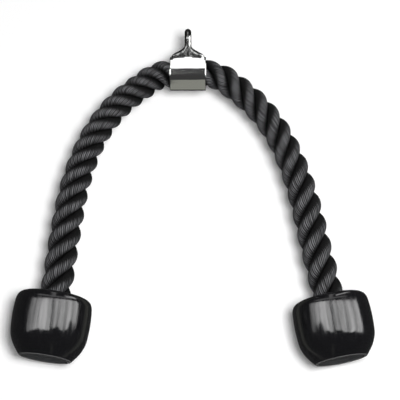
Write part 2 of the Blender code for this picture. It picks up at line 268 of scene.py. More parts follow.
def smooth_route(points: list[Pair], leaving: Pair, arriving: np.ndarray) -> np.ndarray:
    """A cubic spline through points, with its two end directions given.

    Args:
        points: the places that the route passes.
        leaving: its direction at the first of them.
        arriving: its direction at the last.

    Returns:
        Closely spaced points along the route.
    """
    knots = np.array(points, float)
    chords = np.linalg.norm(np.diff(knots, axis=0), axis=1)
    count = len(knots)
    system = np.eye(count)
    target = np.zeros_like(knots)
    target[0], target[-1] = leaving, arriving
    for i in range(1, count - 1):
        before, after = chords[i - 1], chords[i]
        system[i, i - 1 : i + 2] = after, 2 * (before + after), before
        target[i] = 3 * (after / before * (knots[i] - knots[i - 1]) + before / after * (knots[i + 1] - knots[i]))
    slopes = np.linalg.solve(system, target)
    t = np.linspace(0, 1, ROUTE_STEPS, endpoint=False)[:, None]
    spans = [
        (2 * t**3 - 3 * t**2 + 1) * knots[i]
        + (t**3 - 2 * t**2 + t) * chord * slopes[i]
        + (3 * t**2 - 2 * t**3) * knots[i + 1]
        + (t**3 - t**2) * chord * slopes[i + 1]
        for i, chord in enumerate(chords)
    ]
    return np.vstack([*spans, knots[-1:]])


def ease(value: np.ndarray, start: float, end: float) -> np.ndarray:
    """A smooth step from zero at start to one at end."""
    t = np.clip((value - start) / (end - start), 0, 1)
    return t * t * (3 - 2 * t)


class Leg:
    """One leg of the rope, from the middle of the sleeve to its cut end inside the ball."""

    def __init__(self, route: LegRoute) -> None:
        """Lays out the leg and measures it.

        Args:
            route: where the leg runs, and its lay.
        """
        self.side = route.side
        self.tilt = route.tilt
        self.crown_lay = route.crown_lay
        sign = route.side.value
        self.down = np.array((sign * math.sin(route.tilt), -math.cos(route.tilt)))
        ways = [(sign * SLEEVE.length / 2, 0.0)]
        ways += [(sign * route.span * across, -route.drop * below) for across, below in route.shares]
        curve = smooth_route(ways, (sign, 0.0), self.down)
        self.points = np.vstack([np.zeros(2), curve, curve[-1] + self.down * BALL.height])
        steps = np.linalg.norm(np.diff(self.points, axis=0), axis=1)
        self.along = np.concatenate([[0], np.cumsum(steps)])
        self.ball_mouth = float(self.along[-2])
        self.arm_start = SLEEVE.length / 2 + ROPE.flex
        self.arm_end = self.arm_start + ROPE.arm
        self.grip_start = self.arm_end + ROPE.flex
        self.arm_middle = (self.arm_start + self.arm_end) / 2
        self.rope_end = self.ball_mouth + BALL.rope_end
        self.lay_growth = (route.grip_lay - route.crown_lay) / self.ball_mouth

    def turns(self, distance: np.ndarray) -> np.ndarray:
        """How often the strands have turned round the rope, counted from the middle of the sleeve."""
        return np.log1p(self.lay_growth * distance / self.crown_lay) / self.lay_growth

    def at(self, distance: np.ndarray) -> np.ndarray:
        """Points on the rope's centre line.

        Args:
            distance: how far each point is from the middle of the sleeve.

        Returns:
            One point for each distance.
        """
        distance = np.atleast_1d(np.asarray(distance, float))
        x, z = (np.interp(distance, self.along, self.points[:, k]) for k in range(2))
        return np.stack([x, np.zeros_like(x), z], axis=1) + np.array(SLEEVE.centre)

    def heading(self, distance: np.ndarray) -> np.ndarray:
        """The rope's directions, away from the sleeve.

        Args:
            distance: how far each place is from the middle of the sleeve.

        Returns:
            One direction of length one for each distance.
        """
        distance = np.atleast_1d(np.asarray(distance, float))
        reach = ROPE.heading_reach
        run = self.at(distance + reach) - self.at(np.maximum(distance - reach, 0))
        return run / np.linalg.norm(run, axis=1)[:, None]

    def point(self, distance: float) -> Vector:
        """One point on the rope's centre line."""
        return Vector(self.at(np.array([distance]))[0])


class LaidRope:
    """Three strands laid right-handed, their yarns as ridges that run along the rope."""

    def __init__(self, leg: Leg) -> None:
        """Takes the leg that the rope follows."""
        self.leg = leg

    def radius(self, distance: np.ndarray) -> np.ndarray:
        """The rope's radius along the leg: fuller towards the ball, and squeezed in the ferrule.

        Args:
            distance: how far each station is from the middle of the sleeve.

        Returns:
            One radius for each distance.
        """
        crimp = self.leg.ball_mouth + BALL.neck_depth
        fuller = ease(distance, ROPE.swell_start, ROPE.swell_end)
        radius = ROPE.crown_radius + (ROPE.grip_radius - ROPE.crown_radius) * fuller
        return radius * (1 - (1 - ROPE.ferrule_squeeze) * ease(distance, crimp - ROPE.squeeze_ramp, crimp))

    def axes(self, distance: np.ndarray, strand: int) -> tuple[np.ndarray, np.ndarray, np.ndarray]:
        """The strand's own axes along the leg.

        Args:
            distance: how far each station is from the middle of the sleeve.
            strand: which of the three strands.

        Returns:
            The rope's centres, and the directions out of the rope and round it at this strand.
        """
        sign = self.leg.side.value
        centre = self.leg.at(distance)
        direction = self.leg.heading(distance) * sign
        direction[distance < SLEEVE.length / 2] = (1, 0, 0)
        upright = np.stack([-direction[:, 2], np.zeros(len(centre)), direction[:, 0]], axis=1)
        across = np.array([0.0, -1.0, 0.0])
        turn = 2 * math.pi * (sign * self.leg.turns(distance) + strand / STRANDS) + ROPE.phase
        cos, sin = np.cos(turn)[:, None], np.sin(turn)[:, None]
        return centre, upright * cos + across * sin, across * cos - upright * sin

    def section(self, turned: float) -> np.ndarray:
        """A strand's outline across a rope of radius one, lying towards +X, with its yarns turned.

        Args:
            turned: how far the yarns have turned about the strand, in radians.

        Returns:
            One point for each column of the strand's mesh.
        """
        count = ROPE.yarns * ROPE.points_per_yarn
        column = np.arange(count) / count * 2 * math.pi
        angle = column + turned
        wedge = math.pi / STRANDS
        away = np.abs((angle + math.pi) % (2 * math.pi) - math.pi)
        round_out = 1 / np.hypot(np.cos(angle) / (1 - ROPE.strand_centre), np.sin(angle) / ROPE.strand_width)
        flat = ROPE.strand_centre * math.sin(wedge) - ROPE.strand_gap / 2 / ROPE.crown_radius
        facing = np.sin(away - wedge)
        pressed = flat / np.maximum(facing, ROPE.press_least)
        against = np.where(facing > ROPE.press_least, pressed, ROPE.press_far)
        sharpness = ROPE.press_sharpness
        reach = (round_out**-sharpness + against**-sharpness) ** (-1 / sharpness)
        free = ease(against / round_out, 1.0, ROPE.free_from)
        ridge = np.abs(np.sin(column * ROPE.yarns / 2)) ** ROPE.ridge_power
        reach = reach - (1 - ridge) * free * ROPE.yarn_height / ROPE.grip_radius
        return np.stack([ROPE.strand_centre + reach * np.cos(angle), reach * np.sin(angle)], axis=1)

    def grid(self, strand: int, distance: np.ndarray) -> tuple[np.ndarray, np.ndarray]:
        """The strand's surface as rings of points.

        Args:
            strand: which of the three strands.
            distance: the rings' stations along the leg.

        Returns:
            An array of stations by points by three, and a painted groove shade from how far out each point
            lies, from zero deep between the strands to one on the strand's crown. The painted shade is wider
            on the upper side of each strand, as if lit from below.
        """
        sign = self.leg.side.value
        centre, outward, onward = self.axes(distance, strand)
        radius = self.radius(distance)
        turned = 2 * math.pi * ROPE.yarn_turns * sign * self.leg.turns(distance)
        rings, painted_groove_shade = [], []
        for i in range(len(distance)):
            unit = self.section(turned[i])
            outline = unit * radius[i]
            rings.append(centre[i] + outline[:, :1] * outward[i] + outline[:, 1:] * onward[i])
            # Painted shade deep between the strands, leaning to the upper side of each strand.
            far_out = np.hypot(unit[:, 0], unit[:, 1]) - sign * ROPE.groove_lean * unit[:, 1]
            painted_groove_shade.append(ease(far_out, *ROPE.groove_shares))
        return np.array(rings), np.array(painted_groove_shade)

    def middle_line(self, strand: int, distance: np.ndarray) -> np.ndarray:
        """The points that the strand's own centre follows."""
        centre, outward, _ = self.axes(distance, strand)
        return centre + outward * (self.radius(distance) * ROPE.strand_centre)[:, None]

    def make(self, strand: int, label: str, start: float, end: float) -> bpy.types.Object:
        """Builds one stretch of a strand as a closed tube.

        Args:
            strand: which of the three strands.
            label: the stretch's name within the leg.
            start: where it starts along the leg.
            end: where it ends.

        Returns:
            The new object, with UVs that count yarns round it and centimetres along it.
        """
        count = max(2, round((end - start) / ROPE.station_step) + 1)
        distance = np.linspace(start, end, count)
        rings, painted_groove_shade = self.grid(strand, distance)
        around = rings.shape[1]
        faces = []
        turned_in = self.leg.side is Side.LEFT
        for i in range(count - 1):
            for j in range(around):
                k = (j + 1) % around
                quad = (i * around + j, i * around + k, (i + 1) * around + k, (i + 1) * around + j)
                faces.append(quad if turned_in else quad[::-1])
        first, last = tuple(range(around)), tuple((count - 1) * around + j for j in range(around))
        faces += [first[::-1], last] if turned_in else [first, last[::-1]]
        name = f"strand_{strand + 1}_{self.leg.side.label}_{label}"
        mesh = bpy.data.meshes.new(name)
        mesh.from_pydata(rings.reshape(-1, 3).tolist(), [], faces)
        mesh.validate()
        layer = mesh.uv_layers.new(name="yarns")
        yarn = np.array([loop.vertex_index for loop in mesh.loops])
        column, station = yarn % around, yarn // around
        wrapped = np.zeros(len(yarn))
        starts = np.array([p.loop_start for p in mesh.polygons])
        totals = np.array([p.loop_total for p in mesh.polygons])
        for begin, total in zip(starts, totals):
            if total == 4 and column[begin : begin + 4].max() - column[begin : begin + 4].min() > around / 2:
                wrapped[begin : begin + 4] = (column[begin : begin + 4] == 0) * around
        along = distance[station] * ROPE.uv_per_metre + strand * ROPE.uv_shift
        uv = np.stack([(column + wrapped) / ROPE.points_per_yarn, along], axis=1)
        layer.data.foreach_set("uv", uv.astype(np.float32).ravel())
        # The painted groove shade, kept as the mesh's crest attribute for the nylon.
        mask = mesh.attributes.new("crest", "FLOAT", "POINT")
        mask.data.foreach_set("value", painted_groove_shade.astype(np.float32).ravel())
        mesh.shade_smooth()
        rims = {key for cap in mesh.polygons[-2:] for key in cap.edge_keys}
        for edge in mesh.edges:
            edge.use_edge_sharp = edge.key in rims
        return link(bpy.data.objects.new(name, mesh))


def link(obj: bpy.types.Object) -> bpy.types.Object:
    """Puts a new object in the scene."""
    bpy.context.scene.collection.objects.link(obj)
    return obj


def revolved(name: str, profile: list[Pair], steps: int) -> bpy.types.Object:
    """A surface turned about its own Z axis.

    Args:
        name: the new object's name.
        profile: radii and heights, down the outer side first; a radius of zero closes on the axis.
        steps: how many sides the turned shape has.

    Returns:
        The new object at the frame's origin.
    """
    bm = bmesh.new()
    rings: list[list[bmesh.types.BMVert]] = []
    for radius, height in profile:
        if radius < ON_AXIS:
            rings.append([bm.verts.new((0, 0, height))])
            continue
        turns = [2 * math.pi * k / steps for k in range(steps)]
        rings.append([bm.verts.new((radius * math.cos(t), radius * math.sin(t), height)) for t in turns])
    for above, below in zip(rings, rings[1:]):
        for k in range(steps):
            corners = [above[k % len(above)], above[(k + 1) % len(above)]]
            corners += [below[(k + 1) % len(below)], below[k % len(below)]]
            bm.faces.new(list(dict.fromkeys(reversed(corners))))
    mesh = bpy.data.meshes.new(name)
    bm.to_mesh(mesh)
    bm.free()
    mesh.shade_smooth()
    mesh.set_sharp_from_angle(angle=SHARP_EDGE)
    return link(bpy.data.objects.new(name, mesh))


def rounded(profile: list[Pair], steps: int) -> list[Pair]:
    """A smooth line through the points of a profile.

    Args:
        profile: the points that the line passes.
        steps: how many points each span between two of them gets.

    Returns:
        The line's points.
    """
    points = np.array(profile)
    padded = np.vstack([2 * points[0] - points[1], points, 2 * points[-1] - points[-2]])
    made = []
    for a, b, c, d in zip(padded, padded[1:], padded[2:], padded[3:]):
        for t in np.linspace(0, 1, steps, endpoint=False):
            place = 0.5 * (2 * b + (c - a) * t + (2 * a - 5 * b + 4 * c - d) * t**2 + (3 * b - a - 3 * c + d) * t**3)
            made.append(tuple(place))
    return [*made, tuple(points[-1])]


def arc(centre: Pair, radius: float, start: float, end: float, steps: int) -> list[Pair]:
    """Points along an arc of a profile, between two angles in degrees."""
    turns = np.radians(np.linspace(start, end, steps + 1))
    return [(centre[0] + radius * math.cos(t), centre[1] + radius * math.sin(t)) for t in turns]


@dataclass
class EndBall:
    """The glossy rubber ball at a leg's end, with its mouth round the rope and its matt base."""

    leg: Leg
    steps: int = 96
    lip_steps: int = 8
    flank_steps: int = 6
    rim_steps: int = 4
    edge_steps: int = 5

    def place(self, obj: bpy.types.Object) -> bpy.types.Object:
        """Sets a turned piece over the leg's end, leaning as the rope does.

        Args:
            obj: the piece, turned about the frame's Z axis.

        Returns:
            The same piece.
        """
        lean = Matrix.Rotation(-self.leg.side.value * self.leg.tilt, 4, "Y")
        obj.matrix_world = Matrix.Translation(self.leg.point(self.leg.ball_mouth)) @ lean
        return obj

    def shell_profile(self) -> list[Pair]:
        """The ball's outline.

        Returns:
            Radii and heights from inside its mouth, over the shoulder, down to its base and into the recess.
        """
        lip, rim = BALL.mouth_lip, BALL.rim
        mouth = BALL.neck + BALL.mouth_room
        corner = BALL.radius * BALL.base_share
        crown = arc((mouth + lip, -lip), lip, 180, 90, self.lip_steps)
        side = [(BALL.radius * out, -BALL.height * down) for out, down in BALL.profile]
        flank = rounded([crown[-1], *side, (corner, -BALL.height)], self.flank_steps)[1:-1]
        recess = corner - BALL.recess_width
        edge = arc((corner - rim, rim - BALL.height), rim, -20, -90, self.rim_steps)
        inner = [(recess, -BALL.height), (recess, BALL.recess_depth - BALL.height)]
        return [(mouth, -BALL.neck_depth), *crown, *flank, *edge, *inner]

    def base_profile(self) -> list[Pair]:
        """The base plug's underside.

        Returns:
            Radii and heights from its buried edge to the axis.
        """
        disc = BALL.radius * BALL.base_share - BALL.recess_width - BALL.clearance
        base = BALL.plug_inset - BALL.height
        dish = disc * BALL.dish_share
        rim = BALL.plug_edge
        return [
            (disc, BALL.recess_depth - BALL.clearance - BALL.height),
            *arc((disc - rim, base + rim), rim, 0, -90, self.edge_steps),
            (dish + rim, base),
            (dish, base + BALL.dish_depth),
            (0.0, base + BALL.dish_depth),
        ]

    def make(self) -> list[bpy.types.Object]:
        """Builds the ball and its base.

        Returns:
            The ball and the base, in this order.
        """
        label = self.leg.side.label
        shell = self.place(revolved(f"rubber_ball_{label}", self.shell_profile(), self.steps))
        base = self.place(revolved(f"rubber_base_{label}", self.base_profile(), self.steps))
        return [shell, base]


@dataclass
class CrownSleeve:
    """The polished tube through which the rope passes at the crown."""

    steps: int = 96
    rim_steps: int = 6
    body_stations: int = 12
    body_inset: float = 1.2

    def make(self) -> bpy.types.Object:
        """Builds the sleeve along X with rounded rims.

        Returns:
            The sleeve, in its place.
        """
        half, rim, steps = SLEEVE.length / 2, SLEEVE.rim, self.rim_steps
        outer, bore = SLEEVE.outer, SLEEVE.bore
        inset = self.body_inset * rim
        profile = arc((outer - rim, half - rim), rim, 90, 0, steps)
        profile += [(outer, height) for height in np.linspace(half - inset, inset - half, self.body_stations)]
        profile += arc((outer - rim, rim - half), rim, 0, -90, steps)
        profile += arc((bore + rim, rim - half), rim, -90, -180, steps)
        profile += arc((bore + rim, half - rim), rim, 180, 90, steps)
        sleeve = revolved("chrome_sleeve", [*profile, profile[0]], self.steps)
        sleeve.matrix_world = Matrix.Translation(SLEEVE.centre) @ Matrix.Rotation(math.pi / 2, 4, "Y")
        return sleeve


@dataclass
class Eye:
    """The loop of bent rod above the sleeve, its two feet spread along the sleeve."""

    rod_points: int = 48
    bend_stations: int = 36
    flare_stations: int = 22
    foot_stations: int = 5
    bore_steps: int = 120
    bore_reach: float = 0.03

    def rings(self) -> list[list[Vector]]:
        """Outlines of the rod.

        Returns:
            Rings of points up one leg, round the bend and down the other, about the middle of the sleeve.
        """
        inner = SLEEVE.opening_width / 2
        bend_radius = inner + SLEEVE.rod
        bend_height = SLEEVE.seat - inner
        foot = math.sqrt(SLEEVE.outer**2 - inner**2)
        top = foot + SLEEVE.flare_height
        lean_top = foot - SLEEVE.foot_edge
        heights = [*np.linspace(SLEEVE.foot_bottom, lean_top, self.foot_stations)]
        heights += [*np.linspace(foot, top, self.flare_stations)]
        up = []
        for height in heights:
            leaning = max(lean_top - height, 0) * math.tan(SLEEVE.foot_lean)
            up.append((-bend_radius - leaning, height, 0.0))
        bend = []
        for k in range(self.bend_stations + 1):
            turn = math.pi * k / self.bend_stations
            bend.append((-bend_radius * math.cos(turn), bend_height + bend_radius * math.sin(turn), turn))
        down = [(-across, height, math.pi) for across, height, _ in reversed(up)]
        rings = []
        for across, height, turn in up + bend + down:
            flared = float(ease(height, top, foot)) ** SLEEVE.flare_power
            spread = SLEEVE.rod + (SLEEVE.foot_length / 2 - SLEEVE.rod) * flared
            out = Vector((0, -math.cos(turn), math.sin(turn))) * SLEEVE.rod
            ring = []
            for j in range(self.rod_points):
                t = 2 * math.pi * j / self.rod_points
                ring.append(Vector((0, across, height)) + out * math.cos(t) + Vector((spread * math.sin(t), 0, 0)))
            rings.append(ring)
        return rings

    def make(self) -> bpy.types.Object:
        """Builds the eye as one closed tube whose feet end inside the sleeve's wall.

        Returns:
            The eye, in its place.
        """
        bm = bmesh.new()
        verts = [[bm.verts.new(point) for point in ring] for ring in self.rings()]
        around = len(verts[0])
        for one, two in zip(verts, verts[1:]):
            for j in range(around):
                k = (j + 1) % around
                bm.faces.new((one[j], one[k], two[k], two[j]))
        bm.faces.new(verts[0][::-1])
        bm.faces.new(verts[-1])
        bmesh.ops.recalc_face_normals(bm, faces=bm.faces[:])
        mesh = bpy.data.meshes.new("chrome_eye")
        bm.to_mesh(mesh)
        bm.free()
        eye = link(bpy.data.objects.new("chrome_eye", mesh))
        self.hollow(eye)
        eye.matrix_world = Matrix.Translation(SLEEVE.centre)
        return eye

    def hollow(self, eye: bpy.types.Object) -> None:
        """Clears the feet out of the sleeve's bore, halfway into its wall.

        Args:
            eye: the eye, still about the frame's origin.
        """
        middle, reach = SLEEVE.bore + SLEEVE.wall / 2, self.bore_reach
        profile = [(0, reach), (middle, reach), (middle, -reach), (0, -reach)]
        bore = revolved("bore_space", profile, self.bore_steps)
        bore.matrix_world = Matrix.Rotation(math.pi / 2, 4, "Y")
        cut = eye.modifiers.new("bore", "BOOLEAN")
        cut.operation, cut.solver, cut.object = "DIFFERENCE", "EXACT", bore
        applied(eye)
        bpy.data.objects.remove(bore, do_unlink=True)


def applied(obj: bpy.types.Object) -> None:
    """Puts an object's modifiers into its mesh.

    Args:
        obj: the object, which then has a mesh of its own.
    """
    bpy.context.view_layer.update()
    depsgraph = bpy.context.evaluated_depsgraph_get()
    mesh = bpy.data.meshes.new_from_object(obj.evaluated_get(depsgraph))
    obj.modifiers.clear()
    obj.data = mesh
    mesh.name = obj.name
    mesh.shade_smooth()
    mesh.set_sharp_from_angle(angle=SHARP_CUT)


@dataclass(frozen=True)
class Finish:
    """The plain values of a surface, before its detail."""

    name: str
    colour: Triple
    roughness: float
    metallic: float = 0.0
    specular: float = 0.5

    def shade(self, share: float) -> Triple:
        """The finish's colour, made darker or lighter by a share."""
        return tuple(share * c for c in self.colour)


NYLON = Finish("laid_nylon", (0.060, 0.060, 0.063), 0.50, specular=0.12)
CHROME = Finish("polished_chrome", (0.82, 0.82, 0.81), 0.05, metallic=1.0)
PLATED_ROD = Finish("plated_rod", (0.60, 0.61, 0.61), 0.13, metallic=1.0)
GLOSS_RUBBER = Finish("gloss_rubber", (0.006, 0.006, 0.007), 0.12)
MATT_RUBBER = Finish("matt_rubber", (0.045, 0.047, 0.050), 0.55, specular=0.4)
ZINC = Finish("zinc_steel", (0.55, 0.56, 0.57), 0.35, metallic=1.0)
# The light grey of the ball's dust specks and of its painted rim highlight.
DUST_AND_RIM_HIGHLIGHT = (0.22, 0.22, 0.22)


class Socket(Enum):
    """The kinds of socket that the shared effects use."""

    VALUE = "NodeSocketFloat"
    VECTOR = "NodeSocketVector"


class Tree:
    """A node tree, built step by step."""

    def __init__(self, tree: bpy.types.NodeTree) -> None:
        """Takes the tree that gets the nodes."""
        self.tree = tree

    def node(self, kind: str, **settings: object) -> bpy.types.Node:
        """A new node.

        Args:
            kind: the node's type.
            **settings: the properties that differ from a fresh node's.

        Returns:
            The node.
        """
        made = self.tree.nodes.new(kind)
        for key, value in settings.items():
            setattr(made, key, value)
        return made

    def feed(self, socket: bpy.types.NodeSocket, value: Feed) -> None:
        """Gives a socket its value, or links it when the value is a socket.

        Args:
            socket: the input.
            value: what it gets.
        """
        if isinstance(value, bpy.types.NodeSocket):
            self.tree.links.new(value, socket)
        else:
            socket.default_value = value

    def fed(self, kind: str, *values: Feed, **settings: object) -> bpy.types.NodeSocket:
        """The first output of a new node whose inputs are given in order.

        Args:
            kind: the node's type.
            *values: what its first inputs get.
            **settings: the properties that differ from a fresh node's.

        Returns:
            The output.
        """
        made = self.node(kind, **settings)
        for socket, value in zip(made.inputs, values):
            self.feed(socket, value)
        return made.outputs[0]

    def maths(self, operation: str, *values: Feed) -> bpy.types.NodeSocket:
        """The result of a maths node on sockets or numbers."""
        return self.fed("ShaderNodeMath", *values, operation=operation)

    def times(self, one: Feed, two: Feed) -> bpy.types.NodeSocket:
        """The product of two sockets or numbers."""
        return self.maths("MULTIPLY", one, two)

    def scaled(self, vector: bpy.types.NodeSocket, scale: Triple) -> bpy.types.NodeSocket:
        """A vector stretched along its three axes."""
        return self.fed("ShaderNodeVectorMath", vector, scale, operation="MULTIPLY")

    def parts(self, vector: bpy.types.NodeSocket) -> bpy.types.NodeOutputs:
        """A vector's three parts.

        Args:
            vector: the vector.

        Returns:
            The outputs with its X, Y and Z.
        """
        made = self.node("ShaderNodeSeparateXYZ")
        self.feed(made.inputs[0], vector)
        return made.outputs

    def noise(self, vector: bpy.types.NodeSocket, scale: Feed, detail: float = 2.0) -> bpy.types.NodeSocket:
        """A noise texture's value.

        Args:
            vector: where it is read.
            scale: how close its blots stand.
            detail: how many finer noises lie on it.

        Returns:
            The value, mostly near a half.
        """
        made = self.node("ShaderNodeTexNoise")
        for name, value in (("Vector", vector), ("Scale", scale), ("Detail", detail)):
            self.feed(made.inputs[name], value)
        return made.outputs["Fac"]

    def between(self, value: bpy.types.NodeSocket, old: Pair, new: Pair) -> bpy.types.NodeSocket:
        """A value moved smoothly from one range to another, held at both ends."""
        return self.fed("ShaderNodeMapRange", value, *old, *new, interpolation_type="SMOOTHSTEP")

    def mixed(self, share: bpy.types.NodeSocket, one: Triple, two: Triple) -> bpy.types.NodeSocket:
        """A colour between two others.

        Args:
            share: zero for the first colour and one for the second.
            one: the first colour.
            two: the second colour.

        Returns:
            The colour.
        """
        made = self.node("ShaderNodeMix", data_type="RGBA")
        for place, value in ((0, share), (6, (*one, 1)), (7, (*two, 1))):
            self.feed(made.inputs[place], value)
        return made.outputs[2]


def cleared(owner: bpy.types.Material | bpy.types.World) -> Tree:
    """Empties the nodes of a material or a world.

    Args:
        owner: the material or world.

    Returns:
        Its tree, without nodes.
    """
    owner.use_nodes = True
    owner.node_tree.nodes.clear()
    return Tree(owner.node_tree)


class SharedEffect(Tree):
    """A node group with named inputs and outputs, which several finishes use."""

    def __init__(self, name: str, inputs: dict[str, tuple[Socket, float | None]], outputs: tuple[str, ...]) -> None:
        """Makes the group with its sockets, still without nodes between them.

        Args:
            name: the group's name.
            inputs: each input's kind and its value, or None where it has none.
            outputs: the names of its outputs, which are all plain values.
        """
        super().__init__(bpy.data.node_groups.new(name, "ShaderNodeTree"))
        for label, (kind, value) in inputs.items():
            socket = self.tree.interface.new_socket(label, in_out="INPUT", socket_type=kind.value)
            if value is not None:
                socket.default_value = value
        for label in outputs:
            self.tree.interface.new_socket(label, in_out="OUTPUT", socket_type=Socket.VALUE.value)
        self.given = self.node("NodeGroupInput").outputs
        self.result = self.node("NodeGroupOutput").inputs


def make_grain() -> SharedEffect:
    """Fine unevenness: a broad and a fine noise, as a height and as a mask of tone.

    Returns:
        The effect, with the inputs Vector, Scale and Fineness, and the outputs Height and Tone.
    """
    effect = SharedEffect(
        "grain",
        {"Vector": (Socket.VECTOR, None), "Scale": (Socket.VALUE, 400.0), "Fineness": (Socket.VALUE, 6.0)},
        ("Height", "Tone"),
    )
    given = effect.given
    broad = effect.noise(given["Vector"], given["Scale"])
    fine = effect.noise(given["Vector"], effect.times(given["Scale"], given["Fineness"]), 3.0)
    height = effect.maths("MULTIPLY_ADD", broad, 0.6, effect.times(fine, 0.4))
    effect.feed(effect.result["Height"], height)
    effect.feed(effect.result["Tone"], effect.between(broad, (0.32, 0.68), WHOLE))
    return effect


def make_marks() -> SharedEffect:
    """Handling: sparse short scratches and specks of dust.

    Returns:
        The effect, with the inputs Vector, Scale and Amount, and the outputs Scratches and Dust.
    """
    effect = SharedEffect(
        "handling_marks",
        {"Vector": (Socket.VECTOR, None), "Scale": (Socket.VALUE, 120.0), "Amount": (Socket.VALUE, 0.3)},
        ("Scratches", "Dust"),
    )
    given = effect.given
    stretched = effect.scaled(given["Vector"], (1.0, 1.0, 0.12))
    lines = effect.noise(stretched, effect.times(given["Scale"], 9.0), 1.0)
    patches = effect.noise(given["Vector"], given["Scale"], 1.0)
    narrow = effect.between(lines, (0.66, 0.72), WHOLE)
    there = effect.between(patches, (0.50, 0.64), WHOLE)
    scratches = effect.times(effect.times(narrow, there), given["Amount"])
    specks = effect.noise(given["Vector"], effect.times(given["Scale"], 30.0), 1.0)
    dust = effect.times(effect.between(specks, (0.68, 0.76), WHOLE), given["Amount"])
    effect.feed(effect.result["Scratches"], scratches)
    effect.feed(effect.result["Dust"], dust)
    return effect


class Surface(Tree):
    """One finish's material: its shader, and the detail that feeds it."""

    def __init__(self, finish: Finish) -> None:
        """Makes the material with its plain values.

        Args:
            finish: the plain values.
        """
        material = bpy.data.materials.new(finish.name)
        material.use_nodes = True
        super().__init__(material.node_tree)
        self.material = material
        self.shader = self.tree.nodes["Principled BSDF"]
        self.set("Base Color", (*finish.colour, 1))
        self.set("Roughness", finish.roughness)
        self.set("Metallic", finish.metallic)
        self.set("Specular IOR Level", finish.specular)

    def set(self, name: str, value: Feed) -> None:
        """Gives one of the shader's sockets a value or a link."""
        self.feed(self.shader.inputs[name], value)

    def effect(self, shared: SharedEffect, **inputs: Feed) -> bpy.types.NodeOutputs:
        """Places a shared effect with this finish's own values.

        Args:
            shared: the effect.
            **inputs: what its inputs get.

        Returns:
            Its outputs.
        """
        made = self.node("ShaderNodeGroup", node_tree=shared.tree)
        for name, value in inputs.items():
            self.feed(made.inputs[name], value)
        return made.outputs

    def place(self) -> bpy.types.NodeSocket:
        """The piece's own coordinates in metres."""
        return self.node("ShaderNodeTexCoord").outputs["Object"]

    def wrapped(
        self, across: bpy.types.NodeSocket, along: bpy.types.NodeSocket, stretch: float, count: int
    ) -> bpy.types.NodeSocket:
        """Coordinates on a cylinder, so that a noise closes up where count steps across meet.

        Args:
            across: the place round the cylinder, in steps of one.
            along: the place along it.
            stretch: how far the noise moves with one unit along.
            count: how many steps go round.

        Returns:
            The coordinates, in which one step round is one long.
        """
        turn = self.times(across, 2 * math.pi / count)
        radius = count / (2 * math.pi)
        ways = (self.times(self.maths(operation, turn), radius) for operation in ("COSINE", "SINE"))
        return self.fed("ShaderNodeCombineXYZ", *ways, self.times(along, stretch))

    def ridges(self, across: bpy.types.NodeSocket, width: int) -> bpy.types.NodeSocket:
        """Ridges side by side, from zero in the lines between them to one on their tops."""
        return self.maths("ABSOLUTE", self.maths("SINE", self.times(across, math.pi / width)))

    def bump(
        self, height: bpy.types.NodeSocket, distance: float, strength: float, under: bpy.types.NodeSocket | None = None
    ) -> bpy.types.NodeSocket:
        """A bumped normal.

        Args:
            height: the height, from zero to one.
            distance: how high one is, in metres.
            strength: how much of it shows.
            under: another bumped normal that this one lies on.

        Returns:
            The normal.
        """
        made = self.node("ShaderNodeBump")
        for name, value in (("Height", height), ("Distance", distance), ("Strength", strength)):
            self.feed(made.inputs[name], value)
        if under is not None:
            self.feed(made.inputs["Normal"], under)
        return made.outputs[0]


